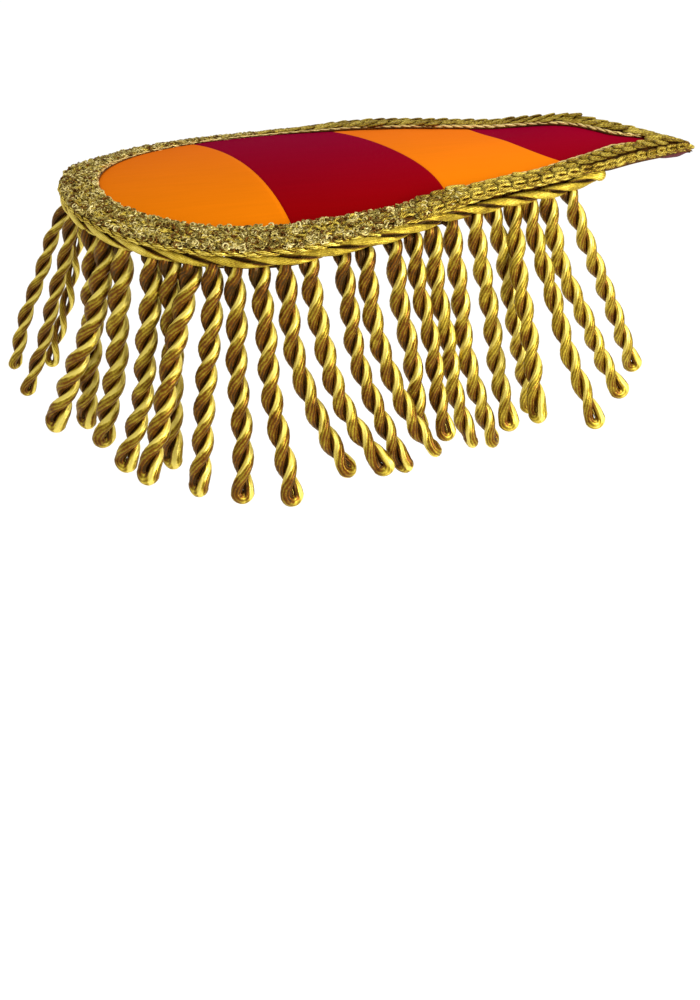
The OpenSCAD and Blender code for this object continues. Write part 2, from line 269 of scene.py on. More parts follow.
def half_width(x):
    """Half of the outline's width between its widest place and the strap's corner."""
    xs, ys = np.array(WIDTHS, float).T
    slopes = np.zeros(len(xs))
    slopes[1:-1] = (ys[2:] - ys[:-2]) / (xs[2:] - xs[:-2])
    slopes[-1] = (ys[-1] - ys[-2]) / (xs[-1] - xs[-2])
    i = np.clip(np.searchsorted(xs, x, side="right") - 1, 0, len(xs) - 2)
    h = xs[i + 1] - xs[i]
    t = (x - xs[i]) / h
    return (
        ys[i] * (2 * t**3 - 3 * t**2 + 1)
        + ys[i + 1] * (3 * t**2 - 2 * t**3)
        + h * slopes[i] * (t**3 - 2 * t**2 + t)
        + h * slopes[i + 1] * (t**3 - t**2)
    )


def crown(x, y):
    """Height of the board's top, which dips and lifts a little along the far edge of the strap."""
    wave = looked_up(FAR_WAVE, x) * smooth(y, 3, 20)
    return -BACKING_LOW - ARCH * y * y - TIP_DROOP * np.maximum(0, x - DROOP_X) ** 2 + wave


def crown_up(x, y):
    return unit(np.stack([2 * TIP_DROOP * np.maximum(0, x - DROOP_X), 2 * ARCH * y, np.ones_like(x)], -1))


def fall(x, y):
    """How far the edge hangs below the crown near the point. The far corner lifts instead."""
    near = EDGE_FALL * smooth(x, 50, 75) * (1 - 0.5 * smooth(x, 86, 98))
    return np.where(np.asarray(y) > 0.5, looked_up(FAR_FALL, x), near)


def fall_share(inset):
    """The share of the edge's fall that is left this far in from it."""
    return np.interp(inset, (0, 0.6, 2.2), (1, 0.7, 0))


def sink(x, y, inset):
    """How far the crushed braid slopes down outward along the far side of the round end."""
    return (1.65 - 0.12 * np.clip(inset, 0, 9.5)) * smooth(y, 5, 25) * (1 - smooth(x, -25, 10))


def braid_width(x):
    return BRAID_WIDTH + (STRAP_BRAID_WIDTH - BRAID_WIDTH) * smooth(x, 0, 45)


def inner_width(x, y):
    """The braid's own width, uneven round the point, where its two sides close in on a blunt end."""
    return braid_width(x) + np.where(y < 0, looked_up(NEAR_WIDER, x), looked_up(FAR_WIDER, x))


def fringe_side(x, y):
    """1 along the fringed side and round end, 0 along the strap's end and far side."""
    near = smooth(-y, -4.0, 4.0) * (1 - smooth(x, CORNER_X - 3, CORNER_X + 3))
    return np.maximum(near, 1 - smooth(x, END_X + 2, END_X + 12))


def make_ring():
    """The outline from the strap's fringed corner round the end and back, with mitred ways outward."""
    a = np.radians(np.arange(0, 90, 0.9))
    cap = np.stack([END_X + (WIDE_X - END_X) * (1 - np.cos(a)), WIDTHS[0][1] * np.sin(a)], -1)
    xs = np.linspace(WIDE_X, CORNER_X, 130)
    half = np.concatenate([cap, np.stack([xs, half_width(xs)], -1)])
    t = np.linspace(0, 1, 61)[1:, None]
    leg = np.array([CORNER_X, HALF_STRAP]) * (1 - t) + np.array([TIP_X, 0.0]) * t
    flip = np.array([1, -1])
    near, far, back = (half * flip)[::-1], half[1:], (leg * flip)[::-1][1:]
    points = np.concatenate([near, far, leg, back])
    ways = unit(rolled(points, -1) - points)
    sides = np.stack([-ways[:, 1], ways[:, 0]], -1)
    sides = sides * np.sign((sides * points).sum(-1, keepdims=True).mean())
    before = rolled(sides, 1)
    mitre = (before + sides) / (1 + (before * sides).sum(-1, keepdims=True))
    n = len(points)
    far_corner = len(near) + len(far) - 1
    tip = far_corner + len(leg)
    run = run_along(looped(points))
    total, run = run[-1], run[:-1]
    outward = mitre.copy()
    for i, j in ((far_corner, tip), (tip, n)):
        k = np.linspace(0, 1, j - i + 1)[:-1, None]
        outward[i:j] = mitre[i] * (1 - k) + mitre[j % n] * k
    for corner, step, side in ((0, 1, sides), (far_corner, -1, before)):
        push = mitre[corner] - side[corner]
        for m in range(1, 40):
            i = corner + step * m
            away = abs(run[i] - run[corner])
            outward[i] = mitre[i] + push * (1 - smooth(away, 0.0, 9.0))
    return points, outward, run, total


POINTS, OUTWARD, RUN, TOTAL = make_ring()


def along_ring(values, s):
    s, run = np.mod(s, TOTAL), np.append(RUN, TOTAL)
    return np.stack([np.interp(s, run, looped(row)) for row in values.T], -1)


def edge(s, inset, height):
    """A place near the outline: its point, and the way outward."""
    s = np.atleast_1d(np.asarray(s, float))
    out = unit(along_ring(OUTWARD, s))
    rim = along_ring(POINTS, s)
    p = rim - out * inset
    z = crown(rim[:, 0], rim[:, 1]) - fall(*rim.T) + height
    return np.stack([p[:, 0], p[:, 1], z], -1), np.concatenate([out, np.zeros((len(s), 1))], -1)


def lane(inset, step=0.5):
    """A closed line on the braid, this far in from its outer edge, or out from its inner edge if below 0.

    Gives points on the crown, ways out and up, the run along the line, its length, and the crush."""
    rim = POINTS[:, 0]
    inset = np.broadcast_to(inset, rim.shape) + (inner_width(rim, POINTS[:, 1]) if inset < 0 else 0)
    p = POINTS - OUTWARD * inset[:, None]
    low = fall(*POINTS.T)
    drop = low * fall_share(inset)
    tilt = low * (fall_share(inset - 0.4) - fall_share(inset + 0.4)) / 0.8
    run = run_along(looped(p))
    n = int(run[-1] / step)
    s = np.arange(n) * run[-1] / n
    rows = (p[:, 0], p[:, 1], OUTWARD[:, 0], OUTWARD[:, 1], drop, tilt, inset)
    x, y, out_x, out_y, drop, tilt, inset = (np.interp(s, run, looped(v)) for v in rows)
    flat = unit(np.stack([out_x, out_y, np.zeros(n)], -1))
    up = unit(crown_up(x, y) + flat * tilt[:, None])
    out = unit(flat - up * (flat * up).sum(-1, keepdims=True))
    limit = np.where(y < 0, 34.0, -8.0)
    crush = 1 - smooth(x, limit - 26, limit)
    return np.stack([x, y, crown(x, y) - drop - sink(x, y, inset)], -1), out, up, s, run[-1], crush


def inset_half(inset):
    """Half width of the outline moved in, as a function of x."""
    p = POINTS - OUTWARD * inset
    p = p[p[:, 1] >= 0]
    p = p[np.argsort(p[:, 0])]
    return lambda x: np.interp(x, p[:, 0], p[:, 1])


# Meshes


def new_object(name, mesh):
    obj = bpy.data.objects.new(name, mesh)
    bpy.context.scene.collection.objects.link(obj)
    return obj


def new_mesh(name, points, edges=(), faces=()):
    mesh = bpy.data.meshes.new(name)
    mesh.from_pydata((np.asarray(points) * MM).tolist(), edges, faces)
    return mesh


def from_arrays(name, points, faces, material, smooth_faces=True):
    mesh = new_mesh(name, points, faces=faces)
    mesh.update()
    if smooth_faces:
        mesh.shade_smooth()
    mesh.materials.append(material)
    return new_object(name, mesh)


def tube_faces(n, m, closed):
    """Faces of a tube of n rings with m points each, as a closed loop or with flat ends."""
    faces = []
    for i in range(n if closed else n - 1):
        k = (i + 1) % n
        for j in range(m):
            j2 = (j + 1) % m
            faces.append((i * m + j, i * m + j2, k * m + j2, k * m + j))
    if not closed:
        faces.append(tuple(range(m))[::-1])
        faces.append(tuple((n - 1) * m + j for j in range(m)))
    return faces


def store(mesh, name, values):
    """Keeps values on a mesh's points, as numbers or as vectors."""
    values = np.asarray(values, np.float32)
    kind, key = ("FLOAT_VECTOR", "vector") if values.ndim > 1 else ("FLOAT", "value")
    mesh.attributes.new(name, kind, "POINT").data.foreach_set(key, values.ravel())


def chains_mesh(name, chains):
    """Edge chains for the trees. A chain has points and ways out, and what it leaves out is as usual."""
    edges, start = [], 0
    for c in chains:
        n = len(c["points"])
        edges += [(start + i, start + i + 1) for i in range(n - 1)]
        if c.get("closed"):
            edges.append((start + n - 1, start))
        start += n
    mesh = new_mesh(name, np.concatenate([c["points"] for c in chains]), edges)
    store(mesh, "out", np.concatenate([c["out"] for c in chains]))
    for key, usual in (("size", 1.0), ("run", 0.0), ("crush", 0.0), ("tone", 0.5), ("flip", 1.0)):
        rows = [np.broadcast_to(c.get(key, usual), len(c["points"])) for c in chains]
        store(mesh, key, np.concatenate(rows))
    return mesh


def join(name, objects):
    """One mesh of several, with all their attributes."""
    first = objects[0]
    with bpy.context.temp_override(
        active_object=first, object=first, selected_objects=objects, selected_editable_objects=objects
    ):
        bpy.ops.object.join()
    first.name = first.data.name = name
    return first


# Node trees


class Wires:
    """Short calls that add and join nodes."""

    def __init__(self, tree):
        self.tree, self.count = tree, 0

    def add(self, kind, **settings):
        node = self.tree.nodes.new(kind)
        node.location = (190 * (self.count % 10), -280 * (self.count // 10))
        self.count += 1
        for key, value in settings.items():
            setattr(node, key, value)
        return node

    def put(self, socket, value):
        if isinstance(value, bpy.types.NodeSocket):
            self.tree.links.new(value, socket)
        else:
            socket.default_value = value

    def node(self, kind, inputs=None, output=0, **settings):
        """Adds a node, fills its inputs by name or number, and gives one output."""
        node = self.add(kind, **settings)
        for key, value in (inputs or {}).items():
            self.put(node.inputs[key], value)
        return node.outputs[output]

    def math(self, operation, a, b=0.0, c=0.0, clamp=False):
        inputs = {0: a, 1: b, 2: c}
        return self.node("ShaderNodeMath", inputs, operation=operation, use_clamp=clamp)

    def times(self, a, b):
        return self.math("MULTIPLY", a, b)

    def plus(self, a, b):
        return self.math("ADD", a, b)

    def about_half(self, value, factor, base=0.0):
        """How far value is from a half, times factor, added to base."""
        return self.math("MULTIPLY_ADD", self.math("SUBTRACT", value, 0.5), factor, base)

    def vector(self, operation, a, b):
        """Vector maths. For SCALE, b is the factor."""
        inputs = {0: a, 3 if operation == "SCALE" else 1: b}
        return self.node("ShaderNodeVectorMath", inputs, operation=operation)

    def combine(self, x=0.0, y=0.0, z=0.0):
        return self.node("ShaderNodeCombineXYZ", {"X": x, "Y": y, "Z": z})

    def split(self, vector):
        node = self.add("ShaderNodeSeparateXYZ")
        self.put(node.inputs[0], vector)
        return node.outputs

    def ramp(self, value, low, high):
        """0 up to low, 1 from high, and a soft rise between."""
        inputs = {0: value, 1: low, 2: high}
        return self.node("ShaderNodeMapRange", inputs, interpolation_type="SMOOTHSTEP")

    def mix(self, factor, a, b):
        return self.node("ShaderNodeMix", {"Factor": factor, 6: a, 7: b}, 2, data_type="RGBA")

    def noise(self, vector, scale, detail=2.0, roughness=0.5, output=0):
        inputs = {"Vector": vector, "Scale": scale, "Detail": detail, "Roughness": roughness}
        return self.node("ShaderNodeTexNoise", inputs, output)

    def attribute(self, name, kind="FLOAT"):
        if self.tree.bl_idname == "GeometryNodeTree":
            return self.node("GeometryNodeInputNamedAttribute", {"Name": name}, "Attribute", data_type=kind)
        return self.node("ShaderNodeAttribute", output="Fac", attribute_name=name)

    def object_place(self):
        return self.node("ShaderNodeTexCoord", output="Object")

    def marked(self, geometry, name, value):
        """Keeps a value on each point of the geometry, as an attribute."""
        inputs = {"Geometry": geometry, "Name": name, "Value": value}
        return self.node("GeometryNodeStoreNamedAttribute", inputs, data_type="FLOAT", domain="POINT")

    def along(self):
        """From 0 to 1 along a curve."""
        return self.node("GeometryNodeSplineParameter")

    def ring(self, sides, radius, around=None):
        """A round profile that keeps its way round as the attribute around."""
        circle = self.node("GeometryNodeCurvePrimitiveCircle", {"Resolution": sides, "Radius": radius})
        return self.marked(circle, "around", self.along() if around is None else around)

    def spaced(self, given):
        """Points at even steps along the edge chains."""
        curve = self.node("GeometryNodeMeshToCurve", {"Mesh": given["Geometry"]})
        inputs = {"Curve": curve, "Length": given["Spacing"]}
        return self.node("GeometryNodeResampleCurve", inputs, mode="LENGTH")

    def random(self, kind, low, high, seed):
        k = 0 if kind == "FLOAT_VECTOR" else 2
        node = self.add("FunctionNodeRandomValue", data_type=kind)
        for socket, value in ((node.inputs[k], low), (node.inputs[k + 1], high), (node.inputs["Seed"], seed)):
            self.put(socket, value)
        return node.outputs[k // 2]

    def swayed(self, rotation, angles):
        """A rotation with further turns about its own axes."""
        more = self.node("FunctionNodeEulerToRotation", {0: angles})
        return self.node("FunctionNodeRotateRotation", {0: rotation, 1: more}, rotation_space="LOCAL")


def new_tree(name, kind, inputs, outputs):
    """A tree, its wires and both ends. An input's default gives its kind, or else its name does."""
    kinds = {float: "Float", int: "Int", tuple: "Color"}
    tree = bpy.data.node_groups.new(name, kind)
    for key, value in inputs.items():
        socket_type = "NodeSocket" + kinds.get(type(value), key)
        item = tree.interface.new_socket(key, in_out="INPUT", socket_type=socket_type)
        if value is not None:
            item.default_value = value
    for key, socket_kind in outputs.items():
        tree.interface.new_socket(key, in_out="OUTPUT", socket_type="NodeSocket" + socket_kind)
    wires = Wires(tree)
    return tree, wires, wires.add("NodeGroupInput").outputs, wires.add("NodeGroupOutput").inputs


def shape_tree(name, inputs):
    inputs = {"Geometry": None, **inputs, "Material": None}
    return new_tree(name, "GeometryNodeTree", inputs, {"Geometry": "Geometry"})


def surface_group(name, inputs):
    outputs = {"Color": "Color", "Roughness": "Float", "Height": "Float"}
    return new_tree(name, "ShaderNodeTree", inputs, outputs)


def finish_tree(w, geometry, material, output):
    real = w.node("GeometryNodeRealizeInstances", {0: geometry})
    soft = w.node("GeometryNodeSetShadeSmooth", {"Geometry": real})
    w.put(output, w.node("GeometryNodeSetMaterial", {"Geometry": soft, "Material": material}))


def yarn_tree():
    """Sweeps an oval along edge chains. The oval's height lies along the attribute out."""
    tree, w, given, out = shape_tree("Swept yarn", {
        "Half Width": 0.001, "Half Height": 0.001, "Sides": 12, "Crinkle": 0.0, "Crinkle Scale": 600.0,
        "Seed": 0.0,
    })
    curve = w.node("GeometryNodeMeshToCurve", {"Mesh": given["Geometry"]})
    where = w.vector("ADD", w.node("GeometryNodeInputPosition"), w.combine(given["Seed"]))
    stray = w.noise(where, given["Crinkle Scale"], detail=1.0, output=1)
    stray = w.vector("SUBTRACT", stray, (0.5, 0.5, 0.5))
    stray = w.vector("SCALE", stray, w.times(given["Crinkle"], w.attribute("crush")))
    moved = w.node("GeometryNodeSetPosition", {"Geometry": curve, "Offset": stray})
    normal = w.attribute("out", "FLOAT_VECTOR")
    turned = w.node("GeometryNodeSetCurveNormal", {"Curve": moved, "Normal": normal}, mode="FREE")
    ring = w.ring(given["Sides"], 1.0)
    oval = w.node("GeometryNodeTransform", {"Geometry": ring, "Rotation": (0, 0, math.pi)})
    size = w.combine(given["Half Height"], given["Half Width"], 1.0)
    oval = w.node("GeometryNodeTransform", {"Geometry": oval, "Scale": size})
    swept = w.node("GeometryNodeCurveToMesh", {
        "Curve": turned, "Profile Curve": oval, "Scale": w.attribute("size"), "Fill Caps": True,
    })
    finish_tree(w, swept, given["Material"], out["Geometry"])
    return tree


def link_tree():
    """Lays leaf-shaped loops of yarn one over the next along edge chains, tops along the attribute out."""
    tree, w, given, out = shape_tree("Chain links", {
        "Spacing": 0.0036, "Link Length": 0.005, "Link Width": 0.0026, "Yarn Radius": 0.0004, "Seed": 1,
    })
    circle = w.node("GeometryNodeCurvePrimitiveCircle", {"Resolution": 16, "Radius": 1.0})
    circle = w.marked(circle, "run", w.times(w.along(), 12.0))
    head, side, _ = w.split(w.node("GeometryNodeInputPosition"))
    swell = w.math("MULTIPLY_ADD", head, 0.3, 0.75)
    leaf = w.combine(
        w.times(head, w.times(given["Link Length"], 0.5)),
        w.times(w.times(side, swell), w.times(given["Link Width"], 0.5)),
        w.times(w.times(head, 0.75), given["Yarn Radius"]),
    )
    bent = w.node("GeometryNodeSetPosition", {"Geometry": circle, "Position": leaf})
    ring = w.ring(6, given["Yarn Radius"])
    loop = w.node("GeometryNodeCurveToMesh", {"Curve": bent, "Profile Curve": ring})
    spots = w.spaced(given)
    ways = {
        "Primary Axis": w.node("GeometryNodeInputTangent"),
        "Secondary Axis": w.attribute("out", "FLOAT_VECTOR"),
    }
    lie = w.node("FunctionNodeAxesToRotation", ways, primary_axis="X", secondary_axis="Z")
    sway = w.random("FLOAT_VECTOR", (-0.09, -0.05, -0.14), (0.09, 0.05, 0.14), given["Seed"])
    spots = w.marked(spots, "tone", w.random("FLOAT", 0.0, 1.0, given["Seed"]))
    placed = w.node("GeometryNodeInstanceOnPoints", {
        "Points": spots, "Selection": w.math("LESS_THAN", w.attribute("crush"), 0.7), "Instance": loop,
        "Rotation": w.swayed(lie, sway),
    })
    finish_tree(w, placed, given["Material"], out["Geometry"])
    return tree


def curl_tree():
    """Puts small open curls on points, turned at random round the attribute out."""
    tree, w, given, out = shape_tree("Loose curls", {
        "Curl Radius": 0.0006, "Thread Radius": 0.00025, "Tilt": 0.6, "Seed": 1,
    })
    arc = w.node("GeometryNodeCurveArc", {
        "Resolution": 7, "Radius": given["Curl Radius"], "Sweep Angle": math.radians(290),
    })
    ring = w.ring(4, given["Thread Radius"], around=0.5)
    curl = w.node("GeometryNodeCurveToMesh", {"Curve": arc, "Profile Curve": ring, "Fill Caps": True})
    up = w.attribute("out", "FLOAT_VECTOR")
    stand = w.node("FunctionNodeAlignRotationToVector", {"Vector": up}, axis="Z")
    spread = w.combine(given["Tilt"], given["Tilt"], math.pi)
    spin = w.random("FLOAT_VECTOR", w.vector("SCALE", spread, -1.0), spread, given["Seed"])
    placed = w.node("GeometryNodeInstanceOnPoints", {
        "Points": given["Geometry"], "Instance": curl, "Rotation": w.swayed(stand, spin),
        "Scale": w.random("FLOAT", 0.65, 1.35, given["Seed"]),
    })
    finish_tree(w, placed, given["Material"], out["Geometry"])
    return tree


def stitch_tree():
    """Repeats a short rounded stitch along edge chains."""
    tree, w, given, out = shape_tree("Stitches", {
        "Spacing": 0.004, "Stitch Length": 0.0028, "Thread Radius": 0.0003,
    })
    spots = w.spaced(given)
    ball = w.node("GeometryNodeMeshUVSphere", {"Segments": 8, "Rings": 6, "Radius": 1.0})
    size = w.combine(given["Thread Radius"], given["Thread Radius"], w.times(given["Stitch Length"], 0.5))
    stitch = w.node("GeometryNodeTransform", {"Geometry": ball, "Scale": size})
    way = w.node("GeometryNodeInputTangent")
    lie = w.node("FunctionNodeAlignRotationToVector", {"Vector": way}, axis="Z")
    placed = w.node("GeometryNodeInstanceOnPoints", {"Points": spots, "Instance": stitch, "Rotation": lie})
    finish_tree(w, placed, given["Material"], out["Geometry"])
    return tree


def tree_named(name, build):
    return bpy.data.node_groups.get(name) or build()


def grown(name, mesh, tree_name, build, **values):
    """Runs a tree on a mesh, and keeps what it makes as a plain mesh."""
    tree = tree_named(tree_name, build)
    obj = new_object(name, mesh)
    modifier = obj.modifiers.new("Tree", "NODES")
    modifier.node_group = tree
    for item in tree.interface.items_tree:
        key = item.name.lower().replace(" ", "_")
        if item.item_type == "SOCKET" and item.in_out == "INPUT" and key in values:
            modifier[item.identifier] = values[key]
    depsgraph = bpy.context.evaluated_depsgraph_get()
    made = bpy.data.meshes.new_from_object(
        obj.evaluated_get(depsgraph), preserve_all_data_layers=True, depsgraph=depsgraph
    )
    obj.modifiers.remove(modifier)
    obj.data = made
    made.name = name
    if not made.polygons:
        raise RuntimeError(f"{name} came out empty")
    return obj


def yarns(name, chains, width, height, material, **values):
    mesh = chains_mesh(name, chains)
    values.update(half_width=width, half_height=height, material=material)
    return grown(name, mesh, "Swept yarn", yarn_tree, **values)


# Materials


# Painted highlight and painted shade round a ply of a fringe cord, from its outer side over the upper flank
# and the inner side
FLANKS = [
    (0, 0.3), (0.07, 0.36), (0.115, 0.55), (0.15, 0.92), (0.2, 1.02), (0.25, 0.86), (0.295, 0.42),
    (0.36, 0.14), (0.5, 0.04), (0.6, 0.1), (0.7, 0.14), (0.8, 0.2), (0.9, 0.28), (1, 0.34),
]
# From the deepest painted shade to the brightest painted highlight: where on the tone each colour starts and
# where it is full
TONES = (("Core", 0.0, 0.22), ("Olive", 0.2, 0.42), ("Gold", 0.4, 0.65), ("Bright", 0.62, 0.9))
# What gold thread does without where it is woven flat, as in the band and the tape
WOVEN = dict(Ridge=0.0, Spread=0.0, Shade=0.0)


def thread_group():
    """Metal thread wound into a yarn, from the attributes around, run, flip and tone, with painted highlights
    and painted shade round each ply.
    """
    group, w, given, out = surface_group("Gold thread", {
        "Bright": (0.96, 0.78, 0.2, 1), "Gold": (0.6, 0.43, 0.05, 1), "Olive": (0.27, 0.185, 0.022, 1),
        "Core": (0.13, 0.05, 0.008, 1), "Hollow": (0.03, 0.012, 0.003, 1), "Level": 0.5, "Flank": 0.0,
        "Threads": 14.0, "Slant": 0.16, "Ridge": 0.3, "Mottle": 0.5, "Speck": 0.3, "Spread": 0.3,
        "Shade": 0.5,
    })
    around, run, tone, flip = (w.attribute(name) for name in ("around", "run", "tone", "flip"))
    place = w.object_place()
    phase = w.plus(w.times(around, given["Threads"]), w.times(run, given["Slant"]))
    phase = w.plus(phase, w.times(w.noise(place, 420.0), 0.9))
    ridge = w.math("MULTIPLY_ADD", w.math("SINE", w.times(phase, FULL_TURN)), 0.5, 0.5)
    patch = w.noise(place, 300.0, detail=3.0)
    speck = w.noise(place, 2400.0, detail=1.0)
    turned = w.times(w.math("SUBTRACT", w.math("FRACT", w.plus(around, 0.5)), 0.5), flip)
    turned = w.plus(turned, w.times(w.math("SUBTRACT", patch, 0.5), 0.12))
    # Painted highlight and shade round the ply: the FLANKS curve, turned by flip and weighted by Flank
    curve = w.add("ShaderNodeFloatCurve")
    w.put(curve.inputs["Value"], w.math("ADD", turned, 0.5, clamp=True))
    line = curve.mapping.curves[0]
    for x, y in FLANKS[1:-1]:
        line.points.new(x, y)
    line.points[0].location, line.points[-1].location = FLANKS[0], FLANKS[-1]
    curve.mapping.update()
    # Painted shade on the side of each ply that faces the other ply, taken off the tone by Shade
    inner = w.ramp(w.math("COSINE", w.times(around, FULL_TURN)), -0.1, 0.8)
    k = w.math("MULTIPLY_ADD", w.math("SUBTRACT", curve.outputs[0], 0.45), given["Flank"], given["Level"])
    for value, share in ((ridge, "Ridge"), (patch, "Mottle"), (speck, "Speck"), (tone, "Spread")):
        k = w.about_half(value, given[share], k)
    k = w.math("SUBTRACT", k, w.times(inner, given["Shade"]))
    # Painted light: the tone k picks a lit or shaded copy of the gold, from the hollow's shade up to the
    # bright highlight
    shade = given["Hollow"]
    for step, low, high in TONES:
        shade = w.mix(w.ramp(k, low, high), shade, given[step])
    w.put(out["Color"], shade)
    w.put(out["Roughness"], w.math("MULTIPLY_ADD", speck, 0.3, 0.2))
    w.put(out["Height"], w.math("MULTIPLY_ADD", speck, 0.5, ridge))
    return group


def weave_group():
    """Fine cloth: streaks along X, and a close weave, on Object coordinates, painted brighter towards +X,
    with a painted sheen that tints the far side.
    """
    group, w, given, out = surface_group("Fine weave", {
        "Dye": (0.8, 0.2, 0.01, 1), "Far Dye": (0.8, 0.2, 0.01, 1), "Streak": 0.12, "Thread Scale": 2200.0,
    })
    place = w.object_place()
    streak = w.noise(w.vector("MULTIPLY", place, (0.06, 1.0, 0.3)), 900.0, detail=3.0, roughness=0.6)
    cloud = w.noise(place, 24.0)
    # Painted light: along makes the cloth brighter towards +X, as lit from that side, and across blends in
    # the far colour, a painted sheen, towards the far side (+Y)
    x, y, _ = w.split(place)
    across, along = w.ramp(y, -0.035, 0.045), w.ramp(x, -0.08, 0.08)
    shade = w.times(w.math("SUBTRACT", streak, 0.5), given["Streak"])
    shade = w.plus(shade, w.times(w.math("SUBTRACT", cloud, 0.5), 0.1))
    bright = w.plus(shade, w.math("MULTIPLY_ADD", along, 0.3, 0.8))
    dye = w.mix(across, given["Dye"], given["Far Dye"])
    w.put(out["Color"], w.vector("SCALE", dye, bright))
    weave = w.noise(w.vector("MULTIPLY", place, (0.45, 1.0, 0.3)), given["Thread Scale"], detail=1.0)
    w.put(out["Roughness"], w.math("MULTIPLY_ADD", weave, 0.12, 0.8))
    w.put(out["Height"], w.plus(weave, w.times(streak, 0.8)))
    return group


def new_material(name, group, values, height, **surface):
    """A Principled material fed by one of the groups, with its constant values on the shader's sockets."""
    material = bpy.data.materials.new(name)
    material.use_nodes = True
    w = Wires(material.node_tree)
    shader = material.node_tree.nodes["Principled BSDF"]
    for key, value in surface.items():
        shader.inputs[key.replace("_", " ")].default_value = value
    look = w.add("ShaderNodeGroup")
    look.node_tree = group
    for key, value in values.items():
        look.inputs[key].default_value = value
    inputs = {"Strength": 1.0, "Distance": height, "Height": look.outputs["Height"]}
    w.put(shader.inputs["Base Color"], look.outputs["Color"])
    w.put(shader.inputs["Roughness"], look.outputs["Roughness"])
    w.put(shader.inputs["Normal"], w.node("ShaderNodeBump", inputs))
    return material


def rgba(c):
    return (*c, 1.0)


def gold(name, metallic=0.5, **looks):
    """Gold thread in the cords' colours, with its own share of each effect."""
    cords = bpy.context.scene.epaulette.cords
    for key in ("bright", "gold", "olive", "core", "hollow"):
        looks.setdefault(key.capitalize(), rgba(getattr(cords, key)))
    shine = dict(Metallic=metallic, Specular_IOR_Level=0.3, Specular_Tint=(1.0, 0.8, 0.35, 1.0))
    return new_material(name, tree_named("Gold thread", thread_group), looks, 0.00008, **shine)


def cloth(name, dye, streak, height, far=None, **surface):
    """Fine woven cloth, which may have a painted sheen on the board's far side, as a second colour."""
    values = {"Dye": rgba(dye), "Far Dye": rgba(far or dye), "Streak": streak}
    return new_material(name, tree_named("Fine weave", weave_group), values, height, **surface)


# Cloth and backing


def dress(obj, slot, *nodes):
    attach(obj, "root")
    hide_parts(*nodes)


def shell(name, grid, high, low, material, dip=0.0, lift=0.0):
    """A closed sheet over a grid of plan points."""
    nu, nv = grid.shape[:2]
    x, y = grid[..., 0], grid[..., 1]
    top = np.stack([x, y, crown(x, y) + high - dip], -1).reshape(-1, 3)
    under = np.stack([x, y, crown(x, y) + low + lift], -1).reshape(-1, 3)
    n = nu * nv
    cells = (np.arange(nu - 1)[:, None] * nv + np.arange(nv - 1)).ravel()
    faces = [(k, k + nv, k + nv + 1, k + 1) for k in cells]
    faces += [(n + k, n + k + 1, n + k + nv + 1, n + k + nv) for k in cells]
    rim = [k * nv for k in range(nu)] + [(nu - 1) * nv + k for k in range(1, nv)]
    rim += [k * nv + nv - 1 for k in range(nu - 2, -1, -1)] + [k for k in range(nv - 2, 0, -1)]
    faces += [(a, n + a, n + b, b) for a, b in zip(rim, rim[1:] + rim[:1])]
    return from_arrays(name, np.concatenate([top, under]), faces, material)


class EPAULETTE_OT_stripes(bpy.types.Operator):
    """Lays the four cloth stripes"""

    bl_idname = "epaulette.stripes"
    bl_label = "Cloth stripes"

    def execute(self, context):
        settings = context.scene.epaulette.cloth
        satin = dict(height=0.00002, Specular_IOR_Level=0.01)
        red, green, blue = settings.orange
        # The far colours are a painted sheen that shifts the dye's hue on the board's far side
        orange_far_sheen = (red * 0.97, green * 0.82, blue + 0.008)
        orange = cloth("orange_satin", settings.orange, streak=0.1, far=orange_far_sheen, **satin)
        red, green, blue = settings.crimson
        crimson_far_sheen = (red * 0.97, green, blue + 0.024)
        crimson = cloth("crimson_satin", settings.crimson, streak=0.14, far=crimson_far_sheen, **satin)
        half = inset_half(PANEL_INSET)
        nu, nv = 56, 61
        v = np.linspace(-1, 1, nv)[None, :]
        seams = [a + b * v + c * v * v for a, b, c in SEAMS]
        starts = [np.full((1, nv), END_X + 7.0)] + [seam + SEAM_GAP for seam in seams]
        stops = [seam - SEAM_GAP for seam in seams] + [np.full((1, nv), TIP_X - 11.5)]
        for k, node in enumerate(("panel_outer", "panel_middle", "panel_strap", "panel_tip")):
            u = np.linspace(0, 1, nu)
            u = (0.5 - 0.5 * np.cos(u * math.pi) if k else 1 - np.cos(u * math.pi / 2))[:, None]
            x = starts[k] * (1 - u) + stops[k] * u
            y = v * half(x)
            away = np.minimum(x - starts[k] if k else 99.0, stops[k] - x if k < 3 else 99.0)
            dip = SEAM_DIP * np.exp(-((away / SEAM_REACH) ** 2))
            dyed, slot = (crimson, "crimson_cloth") if k % 2 else (orange, "orange_cloth")
            obj = shell("cloth_" + node, np.stack([x, y], -1), PANEL_HIGH, PANEL_LOW, dyed, dip)
            dress(obj, slot, node)
        return {"FINISHED"}


